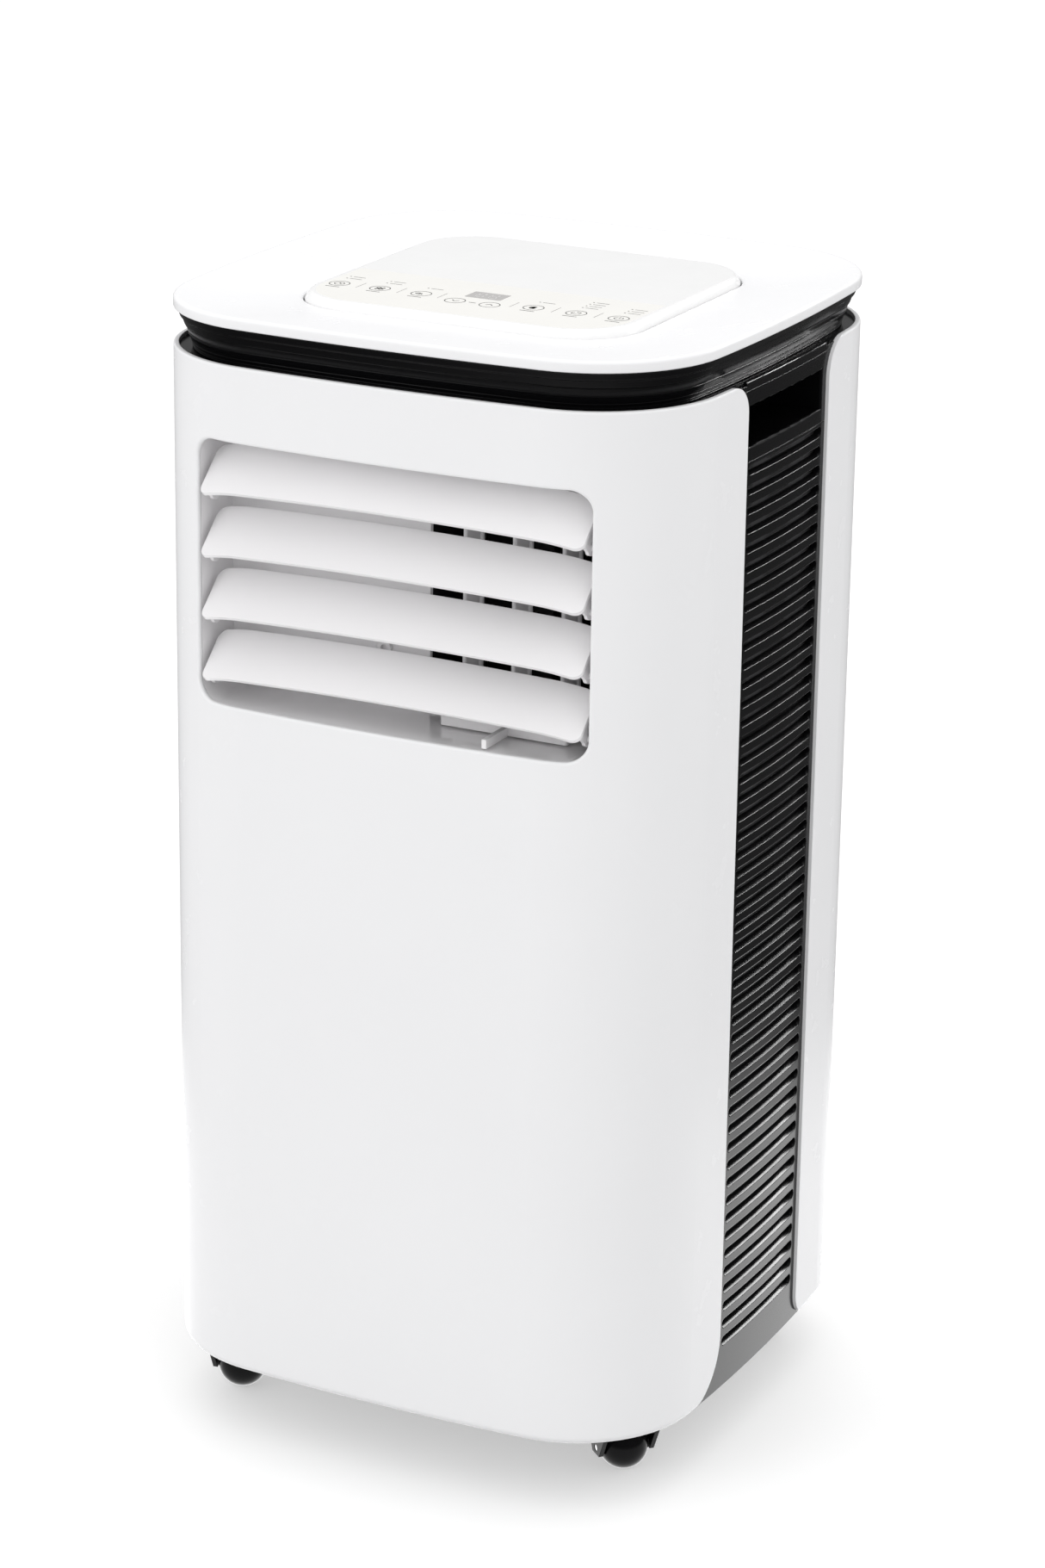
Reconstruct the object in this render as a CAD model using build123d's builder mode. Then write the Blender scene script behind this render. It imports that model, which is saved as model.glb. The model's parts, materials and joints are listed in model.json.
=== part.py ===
"""Portable air conditioner on casters: a crowned square casing with a louvred front outlet.

Millimetres. The front faces -Y, +X is to the right seen from the front, +Z is up, and the
origin is on the floor under the middle of the casing.
"""
import os
from math import cos, radians, sin

from build123d import *

os.makedirs("parts", exist_ok=True)

# ---- Driving dimensions ----------------------------------------------------------------

# Casing plan
WIDTH = 345.0
HALF = WIDTH / 2
CORNER_R = 79.0
CROWN = 8.83            # how far each side bows out between its corners
WALL = 3.0

# Heights
BODY_BOTTOM = 43.3
SHELF_TOP = 665.0
SHELF_THICK = 3.0
PANEL_TOP = 667.4
CAP_BOTTOM = 688.9
CAP_TOP = 695.5
PAD_FOOT = 690.3
PAD_TOP = 695.3
TRAY_Z = 446.0          # the tray that parts the cold upper half from the warm lower half

# White panels and the black side columns between them
PANEL_EDGE_Y = 57.5
EDGE_GAP = 0.25
COLUMN_INSET = 2.0
COLUMN_BACK = 5.6
FLANGE_INSET = 3.4
FLANGE_Y = 106.0
FLANGE_WIDTH = 14.0     # turned-in lip under the panels

# Side grilles and handles
SLOT_COUNT = 48
SLOT_PITCH = 11.52
SLOT_TOP_Z = 614.6
SLOT_LENGTH = 104.0
SLOT_HEIGHT = 6.4
SLOT_SLANT = 0.5        # drop per unit of depth
HANDLE_Z = 620.4
HANDLE_SLOT = (-54.0, 50.0, 628.7, 652.0)
HANDLE_DEPTH = 34.0
HANDLE_WALL = 2.0
HANDLE_RIM_R = 1.2

# Front outlet
OUTLET_HALF = 125.0
OUTLET_BOTTOM = 466.0
OUTLET_TOP = 623.0
OUTLET_R = 13.0
OUTLET_EDGE_R = 1.5
OUTLET_CEILING = 630.0
OUTLET_BACK = -122.0
DUCT_LEFT = 5.0
DUCT_BACK = -58.0
GUARD_Y = -90.0         # finger guard across the duct
GUARD_ROWS = 6
GUARD_THICK = 2.2
BOSS = (-24.0, 501.0)   # moulded screw boss on the blank back wall

# Louvre blades
BLADE_COUNT = 4
BLADE_PITCH = 36.9
BLADE_CHORD = 34.0
BLADE_END_R = 6.0
BLADE_HALF = 121.8
BLADE_THICK = 2.2
BLADE_TILT = 47.0       # from closed, at rest
BLADE_PIVOT_DEPTH = 21.0
BLADE_PIVOT_RISE = 10.2
BLADE_PIVOT_Y = -HALF + BLADE_PIVOT_DEPTH
BLADE_PIVOT_Z = 588.1   # top blade
PIVOT_R = 2.0
RUNNING = 0.07          # radial clearance of a turning pin
EAR_THICK = 2.2
EAR_INSET = 3.2         # from the blade's end to the ear's outer face, plus its thickness
CRANK = 12.0
CRANK_X = -128.6
CRANK_THICK = 1.6
CRANK_WIDTH = 4.4
LINK_THICK = 2.5
LINK_WIDTH = 7.0
PIN_R = 1.5

# Vertical vanes
VANE_X = (28.8, 60.0, 91.2)
VANE_FRONT_Y = -126.0
VANE_BACK_Y = -103.0
VANE_PIVOT_Y = -107.0
VANE_PIN_Y = -134.6
VANE_THICK = 2.6
VANE_SHAFT_R = 2.0
VANE_BOTTOM = 474.2
VANE_TOP = 620.5
VANE_LINK = (22.0, 102.5, -141.4, -127.9)
VANE_LINK_Z = (467.2, 472.6)
VANE_TAB_X = 64.0
VANE_TAB_Y = -168.6
VANE_TAB_HALF = 1.5

# Fans
FAN_CENTRE = {"upper": (-40.0, 550.0), "lower": (38.0, 165.0)}
FAN_R = 70.0
FAN_BLADES = 32
UPPER_FAN_Y = (-50.0, 55.0)
LOWER_FAN_Y = (35.0, 105.0)
SCROLL_WALL = 2.5

# Rear face
EXHAUST_Z = 350.0
EXHAUST_R = 66.0
REAR_MOST = 173.26     # level with the front edge of the louvre blades, so the box is centred
INTAKE_HALF = 108.0
UPPER_INTAKE = (466.0, 634.0)
LOWER_INTAKE = (78.0, 244.0)
INTAKE_CORNER_R = 8.0
DRAINS = {"upper_drain_cap": (-70.0, 262.0), "lower_drain_cap": (-70.0, 58.0)}
DRAIN_HOLE_R = 9.3
DRAIN_CAP_R = 9.0
GLAND = (92.0, 58.0)
GLAND_HOLE_R = 7.1
GLAND_R = 6.9
CORD_HOLE_R = 3.6
SCREW_FACE_Y = 167.3    # the crowned rear face at the screws
SCREW_SPOTS = [(x, z) for x in (-122, 122) for z in (110, 265, 440, 600)]
SCREW_HEAD_R = 3.4
SCREW_SHANK_R = 1.5

# Casters
CASTER_R = 15.0
CASTER_TRAIL = 8.0
CASTER_STEM_R = 4.0
CASTER_AXLE_R = 2.0
CASTERS = {             # stem position and the way the wheel trails at rest, degrees
    "front_left": (-132.0, -100.0, -80.0),
    "front_right": (132.0, -100.0, 138.5),
    "rear_left": (-134.0, 117.0, 150.0),
    "rear_right": (134.0, 117.0, 203.0),
}


# ---- Shared shapes ---------------------------------------------------------------------

def casing_plan(inset=0.0):
    """Plan shape of the casing, set in all round: four crowned sides and round corners."""
    side = HALF - inset
    corner = side - CROWN
    with BuildSketch(mode=Mode.PRIVATE) as plan:
        with BuildLine():
            ThreePointArc((-corner, -corner), (0, -side), (corner, -corner))
            ThreePointArc((corner, -corner), (side, 0), (corner, corner))
            ThreePointArc((corner, corner), (0, side), (-corner, corner))
            ThreePointArc((-corner, corner), (-side, 0), (-corner, -corner))
        make_face()
        fillet(plan.vertices(), CORNER_R - inset)
    return plan.sketch


def casing_slab(inset, bottom, top):
    """A solid slice of the casing's plan shape between two heights."""
    with BuildPart(mode=Mode.PRIVATE) as slab:
        with BuildSketch(Plane.XY.offset(bottom)):
            add(casing_plan(inset))
        extrude(amount=top - bottom)
    return slab.part


def box_between(low, high):
    """A box given by its lowest and highest corners."""
    middle = tuple((a + b) / 2 for a, b in zip(low, high))
    with BuildPart(mode=Mode.PRIVATE) as block:
        with Locations(middle):
            Box(*[b - a for a, b in zip(low, high)])
    return block.part


def panel_side(sign, top_r, bottom_r, gap=0.0):
    """Side view of a white panel, as a block right across the casing.

    sign is -1 for the front panel and 1 for the rear one; gap moves its free edge outwards.
    """
    edge = PANEL_EDGE_Y - gap
    reach = HALF + 20
    with BuildPart(mode=Mode.PRIVATE) as block:
        with BuildSketch(Plane.YZ) as side:
            with Locations((sign * (edge + reach) / 2, (BODY_BOTTOM + PANEL_TOP) / 2)):
                Rectangle(reach - edge, PANEL_TOP - BODY_BOTTOM + 2 * gap)
            free_side = 0 if sign > 0 else -1
            low_corner = side.vertices().group_by(Axis.X)[free_side].sort_by(Axis.Y)[0]
            fillet(low_corner, bottom_r + gap)
            high_corner = side.vertices().group_by(Axis.X)[free_side].sort_by(Axis.Y)[-1]
            fillet(high_corner, top_r + gap)
        extrude(amount=HALF + 10, both=True)
    return block.part


FRONT_EDGE = {"sign": -1, "top_r": 17.5, "bottom_r": 40.0}
REAR_EDGE = {"sign": 1, "top_r": 22.0, "bottom_r": 16.0}


def surface_edges(part, inset, low, high):
    """The part's edges that follow the casing's plan shape, set in, inside a box."""
    outline = casing_plan(inset).edges()

    def on_surface(edge):
        middle = edge @ 0.5
        extent = edge.bounding_box()
        boxed = all(a <= b for a, b in zip(low, extent.min))
        boxed = boxed and all(a >= b for a, b in zip(high, extent.max))
        flat = Vector(middle.X, middle.Y, 0)
        return boxed and min(side.distance_to(flat) for side in outline) < 0.05

    return ShapeList(filter(on_surface, part.edges()))


def finish(builder, name):
    """Label a finished piece and write its file."""
    builder.part.label = name
    export_step(builder.part, f"parts/{name}.step")


# ---- White front and rear panels -------------------------------------------------------

def panel_shell(edge):
    """One white panel: the casing's wall and turned-in foot, up to its rounded free edges."""
    with BuildPart(mode=Mode.PRIVATE) as shell:
        add(casing_slab(0, BODY_BOTTOM, PANEL_TOP))
        fillet(shell.faces().sort_by(Axis.Z)[0].edges(), 4.5)
        fillet(shell.faces().sort_by(Axis.Z)[-1].edges(), 1.2)
        add(casing_slab(WALL, BODY_BOTTOM + WALL, PANEL_TOP + 1), mode=Mode.SUBTRACT)
        add(casing_slab(FLANGE_WIDTH, BODY_BOTTOM - 1, PANEL_TOP), mode=Mode.SUBTRACT)
        add(panel_side(**edge), mode=Mode.INTERSECT)
    return shell.part


with BuildPart() as front_panel:
    add(panel_shell(FRONT_EDGE))
    with BuildSketch(Plane.XZ.offset(HALF - 30)):
        with Locations((0, (OUTLET_BOTTOM + OUTLET_TOP) / 2)):
            RectangleRounded(2 * OUTLET_HALF, OUTLET_TOP - OUTLET_BOTTOM, OUTLET_R)
    extrude(amount=60, mode=Mode.SUBTRACT)
    fillet(surface_edges(front_panel.part, 0, (-OUTLET_HALF - 1, -HALF - 1, OUTLET_BOTTOM - 1),
                         (OUTLET_HALF + 1, -PANEL_EDGE_Y, OUTLET_TOP + 1)), OUTLET_EDGE_R)
finish(front_panel, "front_panel")

with BuildPart() as rear_panel:
    add(panel_shell(REAR_EDGE))
    with BuildSketch(Plane.XZ.offset(-HALF + 30)):
        for low, high in (UPPER_INTAKE, LOWER_INTAKE):
            with Locations((0, (low + high) / 2)):
                RectangleRounded(2 * INTAKE_HALF, high - low, INTAKE_CORNER_R)
        with Locations((0, EXHAUST_Z)):
            Circle(EXHAUST_R + 6.5)
        with Locations(*DRAINS.values()):
            Circle(DRAIN_HOLE_R)
        with Locations(GLAND):
            Circle(GLAND_HOLE_R)
        with Locations(*SCREW_SPOTS):
            Circle(SCREW_SHANK_R + 0.2)
    extrude(amount=-60, mode=Mode.SUBTRACT)
finish(rear_panel, "rear_panel")

with BuildPart() as panel_screws:
    for x, z in SCREW_SPOTS:
        with BuildSketch(Plane(origin=(x, SCREW_FACE_Y, z), z_dir=(0, 1, 0))):
            Circle(SCREW_HEAD_R)
        extrude(amount=1.5)
        with BuildSketch(Plane(origin=(x, SCREW_FACE_Y, z), z_dir=(0, -1, 0))):
            Circle(SCREW_SHANK_R)
        extrude(amount=14)
finish(panel_screws, "panel_screws")


# ---- Black side columns: grilles and handles -------------------------------------------

def side_column(bottom, top):
    """The right-hand column between two heights: a flush face with flanges behind the panels.

    The flanges stop above the panels' turned-in feet.
    """
    flange_bottom = max(bottom, BODY_BOTTOM + WALL + 0.3)
    with BuildPart(mode=Mode.PRIVATE) as column:
        add(casing_slab(COLUMN_INSET, bottom, top))
        for edge in (FRONT_EDGE, REAR_EDGE):
            add(panel_side(gap=EDGE_GAP, **edge), mode=Mode.SUBTRACT)
        add(casing_slab(FLANGE_INSET, flange_bottom, top))
        add(casing_slab(COLUMN_BACK, bottom - 1, top + 1), mode=Mode.SUBTRACT)
        add(box_between((60, -FLANGE_Y, bottom), (HALF, FLANGE_Y, top)), mode=Mode.INTERSECT)
    return column.part


with BuildPart() as side_grille_right:
    add(side_column(BODY_BOTTOM + 0.4, HANDLE_Z - 0.3))
    with BuildSketch(Plane.YZ.offset(HALF - 20)):
        slots_z = SLOT_TOP_Z - SLOT_PITCH * (SLOT_COUNT - 1) / 2 + 20 * SLOT_SLANT - 1.0
        with Locations((0, slots_z)):
            with GridLocations(1, SLOT_PITCH, 1, SLOT_COUNT):
                SlotOverall(SLOT_LENGTH, SLOT_HEIGHT)
    extrude(amount=40, dir=(1, 0, -SLOT_SLANT), mode=Mode.SUBTRACT)
finish(side_grille_right, "side_grille_right")

with BuildPart() as handle_right:
    add(side_column(HANDLE_Z, SHELF_TOP - SHELF_THICK - 0.2))
    front, rear, sill, lintel = HANDLE_SLOT
    inner_x = HALF - COLUMN_BACK - HANDLE_DEPTH
    outer_x = HALF - COLUMN_INSET - 1.6
    add(box_between((inner_x, front - HANDLE_WALL, sill - HANDLE_WALL),
                    (outer_x, rear + HANDLE_WALL, lintel + HANDLE_WALL)))
    add(box_between((inner_x + HANDLE_WALL, front, sill), (HALF + 5, rear, lintel)),
        mode=Mode.SUBTRACT)
    fillet(surface_edges(handle_right.part, COLUMN_INSET, (inner_x, front - 0.1, sill - 0.1),
                         (HALF, rear + 0.1, lintel + 0.1)), HANDLE_RIM_R)
finish(handle_right, "handle_right")

for right, name in ((side_grille_right, "side_grille_left"), (handle_right, "handle_left")):
    with BuildPart() as left_piece:
        add(mirror(right.part, about=Plane.YZ, mode=Mode.PRIVATE))
    finish(left_piece, name)


# ---- Neck band, top cover and control pad ----------------------------------------------

NECK_INSETS = (1.9, 4.3, 6.4, 8.0, 9.8)     # each tier's top edge, from the casing's plan
NECK_SLANT = 1.6                            # how far a tier draws in to its foot
NECK_STEP = (CAP_BOTTOM - SHELF_TOP) / len(NECK_INSETS)
NECK_INNER = 20.0
LIP_TOP = PANEL_TOP - 0.4
LIP_INSET = 4.6
LIP_EDGE_R = 1.0


with BuildPart() as shelf_ends:
    add(casing_slab(COLUMN_INSET, SHELF_TOP - SHELF_THICK, SHELF_TOP))
    for edge in (FRONT_EDGE, REAR_EDGE):
        add(panel_side(gap=EDGE_GAP, **edge), mode=Mode.SUBTRACT)

with BuildPart() as shelf_lips:
    add(casing_slab(COLUMN_INSET, SHELF_TOP, LIP_TOP))
    fillet(shelf_lips.faces().sort_by(Axis.Z)[-1].edges(), LIP_EDGE_R)
    add(casing_slab(LIP_INSET, SHELF_TOP - 1, PANEL_TOP), mode=Mode.SUBTRACT)
    add(box_between((-HALF, 1 - PANEL_EDGE_Y, SHELF_TOP), (HALF, PANEL_EDGE_Y - 1, LIP_TOP)),
        mode=Mode.INTERSECT)

with BuildPart() as neck_band:
    for step, inset in enumerate(NECK_INSETS):
        tier_top = CAP_BOTTOM - step * NECK_STEP
        with BuildSketch(Plane.XY.offset(tier_top)):
            add(casing_plan(inset))
        with BuildSketch(Plane.XY.offset(tier_top - NECK_STEP)):
            add(casing_plan(inset + NECK_SLANT))
        loft(ruled=True)
    add(casing_slab(FLANGE_INSET, SHELF_TOP - SHELF_THICK, SHELF_TOP))
    add(shelf_ends.part)
    add(shelf_lips.part)
    add(casing_slab(NECK_INNER, SHELF_TOP - 10, CAP_BOTTOM + 1), mode=Mode.SUBTRACT)
finish(neck_band, "neck_band")

PAD_X = 102.5
PAD_Y = 100.0
PAD_R = 36.0
PAD_SLOPE = 6.0         # how far the foot of the pad stands outside its top


def pad_plan(grow=0.0):
    """Plan shape of the raised control pad."""
    with BuildSketch(mode=Mode.PRIVATE) as plan:
        RectangleRounded(2 * (PAD_X + grow), 2 * (PAD_Y + grow), PAD_R + grow)
    return plan.sketch


with BuildPart() as dish:
    with BuildSketch(Plane.XY.offset(CAP_TOP + 0.01)):
        add(casing_plan(2.2))
    with BuildSketch(Plane.XY.offset(PAD_FOOT)):
        add(pad_plan(PAD_SLOPE))
    loft(ruled=True)

with BuildPart() as top_cover:
    add(casing_slab(0, CAP_BOTTOM, CAP_TOP))
    fillet(top_cover.faces().sort_by(Axis.Z)[-1].edges(), 1.0)
    add(casing_slab(NECK_INNER + 0.4, CAP_BOTTOM - 2.6, CAP_BOTTOM))
    add(dish.part, mode=Mode.SUBTRACT)
    with BuildSketch(Plane.XY.offset(CAP_BOTTOM - 4)):
        add(pad_plan(PAD_SLOPE - 0.01))
    extrude(amount=20, mode=Mode.SUBTRACT)
finish(top_cover, "top_cover")

OVERLAY_BACK_Y = -18.0
OVERLAY_DEPTH = 0.6
DISPLAY = (12.0, 8.0, -47.0)    # half width, half depth, centre y

with BuildPart() as control_pad:
    with BuildSketch(Plane.XY.offset(CAP_BOTTOM - 2.6)):
        add(pad_plan(PAD_SLOPE - 0.15))
    extrude(amount=PAD_FOOT - CAP_BOTTOM + 2.6)
    with BuildSketch(Plane.XY.offset(PAD_FOOT)):
        add(pad_plan(PAD_SLOPE - 0.15))
    with BuildSketch(Plane.XY.offset(PAD_TOP - 1.2)):
        add(pad_plan(1.2))
    loft(ruled=True)
    with BuildSketch(Plane.XY.offset(PAD_TOP - 1.2)):
        add(pad_plan(1.2))
    with BuildSketch(Plane.XY.offset(PAD_TOP)):
        add(pad_plan(0))
    loft(ruled=True)
    with BuildSketch(Plane.XY.offset(PAD_TOP - OVERLAY_DEPTH)) as overlay_plan:
        add(pad_plan(-2.0))
        with Locations((0, OVERLAY_BACK_Y + PAD_Y)):
            Rectangle(3 * PAD_X, 2 * PAD_Y, mode=Mode.SUBTRACT)
    extrude(amount=2, mode=Mode.SUBTRACT)
    with BuildSketch(Plane.XY.offset(CAP_BOTTOM - 5)):
        with Locations((0, -58)):
            Rectangle(190, 56)
    extrude(amount=6.6, mode=Mode.SUBTRACT)
finish(control_pad, "control_pad")

with BuildPart() as control_overlay:
    with BuildSketch(Plane.XY.offset(PAD_TOP - OVERLAY_DEPTH)):
        add(pad_plan(-2.15))
        with Locations((0, OVERLAY_BACK_Y - 0.15 + PAD_Y)):
            Rectangle(3 * PAD_X, 2 * PAD_Y, mode=Mode.SUBTRACT)
        with Locations((0, DISPLAY[2])):
            Rectangle(2 * DISPLAY[0] + 0.1, 2 * DISPLAY[1] + 0.1, mode=Mode.SUBTRACT)
    extrude(amount=OVERLAY_DEPTH)
finish(control_overlay, "control_overlay")

with BuildPart() as display_window:
    with BuildSketch(Plane.XY.offset(PAD_TOP - OVERLAY_DEPTH)):
        with Locations((0, DISPLAY[2])):
            Rectangle(2 * DISPLAY[0], 2 * DISPLAY[1])
    extrude(amount=OVERLAY_DEPTH - 0.1)
finish(display_window, "display_window")

with BuildPart() as control_board:
    add(box_between((-90, -84, CAP_BOTTOM - 2.2), (90, -32, CAP_BOTTOM - 0.6)))
    with Locations((-60, -58, CAP_BOTTOM), (60, -58, CAP_BOTTOM)):
        Box(22, 14, 1.2)
finish(control_board, "control_board")


# ---- Base, tray and fixed inner pieces -------------------------------------------------

with BuildPart() as base_pan:
    add(casing_slab(FLANGE_WIDTH + 0.3, BODY_BOTTOM, BODY_BOTTOM + WALL))
    add(casing_slab(COLUMN_BACK + 0.4, BODY_BOTTOM + WALL, BODY_BOTTOM + WALL + 22))
    add(casing_slab(COLUMN_BACK + 3.0, BODY_BOTTOM + WALL + 3, BODY_BOTTOM + WALL + 23),
        mode=Mode.SUBTRACT)
    for x, y, _ in CASTERS.values():
        with BuildSketch(Plane.XY.offset(BODY_BOTTOM + WALL)):
            with Locations((x, y)):
                Circle(9)
        extrude(amount=20)
        with BuildSketch(Plane.XY.offset(BODY_BOTTOM - 1)):
            with Locations((x, y)):
                Circle(CASTER_STEM_R + RUNNING)
        extrude(amount=19, mode=Mode.SUBTRACT)
    with BuildSketch(Plane.XZ.offset(-HALF + 30)):
        with Locations(DRAINS["lower_drain_cap"]):
            Circle(DRAIN_HOLE_R)
        with Locations(GLAND):
            Circle(GLAND_HOLE_R)
    extrude(amount=-60, mode=Mode.SUBTRACT)
finish(base_pan, "base_pan")

with BuildPart() as drip_tray:
    add(casing_slab(COLUMN_BACK + 0.6, TRAY_Z, TRAY_Z + 14))
    add(casing_slab(COLUMN_BACK + 3.0, TRAY_Z + 2.5, TRAY_Z + 15), mode=Mode.SUBTRACT)
finish(drip_tray, "drip_tray")

with BuildPart() as outlet_box:
    add(box_between((-OUTLET_HALF - WALL, -HALF, OUTLET_BOTTOM - WALL),
                    (OUTLET_HALF + WALL, OUTLET_BACK + WALL, OUTLET_CEILING + WALL)))
    with BuildSketch(Plane.XZ.offset(-OUTLET_BACK)):
        with Locations((0, (OUTLET_BOTTOM + OUTLET_CEILING) / 2)):
            Rectangle(2 * OUTLET_HALF, OUTLET_CEILING - OUTLET_BOTTOM)
        with Locations((0, OUTLET_BOTTOM + 40)):
            RectangleRounded(2 * OUTLET_HALF, 80, OUTLET_R, mode=Mode.INTERSECT)
        with Locations((0, (OUTLET_BOTTOM + 40 + OUTLET_CEILING) / 2)):
            Rectangle(2 * OUTLET_HALF, OUTLET_CEILING - OUTLET_BOTTOM - 40)
    extrude(amount=80, mode=Mode.SUBTRACT)
    add(casing_slab(WALL + 0.2, OUTLET_BOTTOM - 20, OUTLET_CEILING + 20), mode=Mode.INTERSECT)
    add(box_between((DUCT_LEFT, OUTLET_BACK - 1, OUTLET_BOTTOM + 1.5),
                    (OUTLET_HALF - 1.5, OUTLET_BACK + WALL + 1, OUTLET_TOP - 1)),
        mode=Mode.SUBTRACT)
    with BuildSketch(Plane.XZ.offset(-OUTLET_BACK)):
        with Locations(BOSS):
            Circle(4.6)
            Circle(2.2, mode=Mode.SUBTRACT)
    extrude(amount=2.2)
    with BuildSketch(Plane.YZ.offset(-OUTLET_HALF - 10)):
        for blade in range(BLADE_COUNT):
            with Locations((BLADE_PIVOT_Y, BLADE_PIVOT_Z - blade * BLADE_PITCH)):
                Circle(PIVOT_R + RUNNING)
    extrude(amount=2 * OUTLET_HALF + 20, mode=Mode.SUBTRACT)
finish(outlet_box, "outlet_box")

with BuildPart() as outlet_duct:
    duct_low = (DUCT_LEFT - SCROLL_WALL, OUTLET_BACK + WALL + 0.2, OUTLET_BOTTOM - 1.5)
    duct_high = (OUTLET_HALF + 1.5, DUCT_BACK, OUTLET_TOP + 1.5)
    add(box_between(duct_low, duct_high))
    add(box_between((DUCT_LEFT, OUTLET_BACK, OUTLET_BOTTOM + 1.5),
                    (OUTLET_HALF - 1.5, DUCT_BACK + 1, OUTLET_TOP - 1.5)), mode=Mode.SUBTRACT)
    for row in range(GUARD_ROWS):
        bar_z = OUTLET_BOTTOM + 16 + row * 25
        add(box_between((DUCT_LEFT - 1, GUARD_Y, bar_z),
                        (OUTLET_HALF - 1, GUARD_Y + 4, bar_z + GUARD_THICK)))
    for x in (20, 45, 70, 95, 115):
        add(box_between((x, GUARD_Y + 3.5, OUTLET_BOTTOM), (x + GUARD_THICK, GUARD_Y + 7, OUTLET_TOP)))
    with BuildSketch(Plane.XY.offset(OUTLET_BOTTOM - 10)):
        with Locations(*[(x, VANE_PIVOT_Y) for x in VANE_X]):
            Circle(VANE_SHAFT_R + RUNNING)
    extrude(amount=OUTLET_TOP - OUTLET_BOTTOM + 20, mode=Mode.SUBTRACT)
finish(outlet_duct, "outlet_duct")


# ---- Louvre blades, their link and motor -----------------------------------------------

def blade_axis(index):
    """Pivot axis of one blade, pointing along +X."""
    return Axis((0, BLADE_PIVOT_Y, BLADE_PIVOT_Z - index * BLADE_PITCH), (1, 0, 0))


def build_blade(index):
    """One blade, drawn closed and flush with the casing, then tilted to its rest position."""
    pivot_z = BLADE_PIVOT_Z - index * BLADE_PITCH
    low = pivot_z - BLADE_PIVOT_RISE
    with BuildPart() as closed:
        add(casing_slab(0, low, low + BLADE_CHORD))
        add(casing_slab(BLADE_THICK, low - 1, low + BLADE_CHORD + 1), mode=Mode.SUBTRACT)
        with BuildSketch(Plane.XZ.offset(HALF - 40)):
            with Locations((0, low + BLADE_CHORD / 2)):
                RectangleRounded(2 * BLADE_HALF, BLADE_CHORD, BLADE_END_R)
        extrude(amount=60, mode=Mode.INTERSECT)
        for side in (-1, 1):
            with BuildSketch(Plane.YZ.offset(side * (BLADE_HALF - EAR_INSET))):
                with Locations((BLADE_PIVOT_Y, pivot_z)):
                    Circle(PIVOT_R + 2.6)
                with BuildLine():
                    Polyline((BLADE_PIVOT_Y - 2, pivot_z - 4.2), (BLADE_PIVOT_Y + 4.2, pivot_z + 1.6),
                             (BLADE_PIVOT_Y - 14, pivot_z + 20), (BLADE_PIVOT_Y - 14, pivot_z - 6),
                             close=True)
                make_face()
            extrude(amount=side * EAR_THICK)
        add(casing_slab(0.0, low, low + BLADE_CHORD), mode=Mode.INTERSECT)
        for side in (-1, 1):
            with BuildSketch(Plane.YZ.offset(side * (BLADE_HALF - 2))):
                with Locations((BLADE_PIVOT_Y, pivot_z)):
                    Circle(PIVOT_R)
            reach = -CRANK_X + 1 if side < 0 else OUTLET_HALF + WALL + 0.5
            extrude(amount=side * (reach - BLADE_HALF + 2))
    with BuildPart() as blade:
        add(closed.part.rotate(blade_axis(index), -BLADE_TILT))
        with BuildSketch(Plane.YZ.offset(CRANK_X)):
            with Locations((BLADE_PIVOT_Y + CRANK / 2, pivot_z)):
                SlotCenterToCenter(CRANK, CRANK_WIDTH)
        extrude(amount=-CRANK_THICK)
        with BuildSketch(Plane.YZ.offset(CRANK_X)):
            with Locations((BLADE_PIVOT_Y + CRANK, pivot_z)):
                Circle(PIN_R)
        extrude(amount=-CRANK_THICK - LINK_THICK - 0.8)
    return blade


for blade_index in range(BLADE_COUNT):
    finish(build_blade(blade_index), f"louvre_blade_{blade_index + 1}")

with BuildPart() as louvre_link:
    link_span = (BLADE_COUNT - 1) * BLADE_PITCH
    with BuildSketch(Plane.YZ.offset(CRANK_X - CRANK_THICK - 0.4)):
        with Locations((BLADE_PIVOT_Y + CRANK, BLADE_PIVOT_Z - link_span / 2)):
            SlotCenterToCenter(link_span, LINK_WIDTH, rotation=90)
            with GridLocations(1, BLADE_PITCH, 1, BLADE_COUNT):
                Circle(PIN_R + RUNNING, mode=Mode.SUBTRACT)
    extrude(amount=-LINK_THICK)
finish(louvre_link, "louvre_link")

MOTOR_SPOT = (BLADE_PIVOT_Y + 32, BLADE_PIVOT_Z - 1.5 * BLADE_PITCH)

with BuildPart() as louvre_motor:
    with BuildSketch(Plane.YZ.offset(-OUTLET_HALF - WALL - 0.2)):
        with Locations(MOTOR_SPOT):
            Circle(12)
    extrude(amount=-14)
    with BuildSketch(Plane.YZ.offset(-OUTLET_HALF - WALL - 0.2)):
        with Locations(MOTOR_SPOT):
            SlotCenterToCenter(30, 7, rotation=90)
    extrude(amount=-1.2)
finish(louvre_motor, "louvre_motor")


# ---- Vertical vanes and their link -----------------------------------------------------

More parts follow.
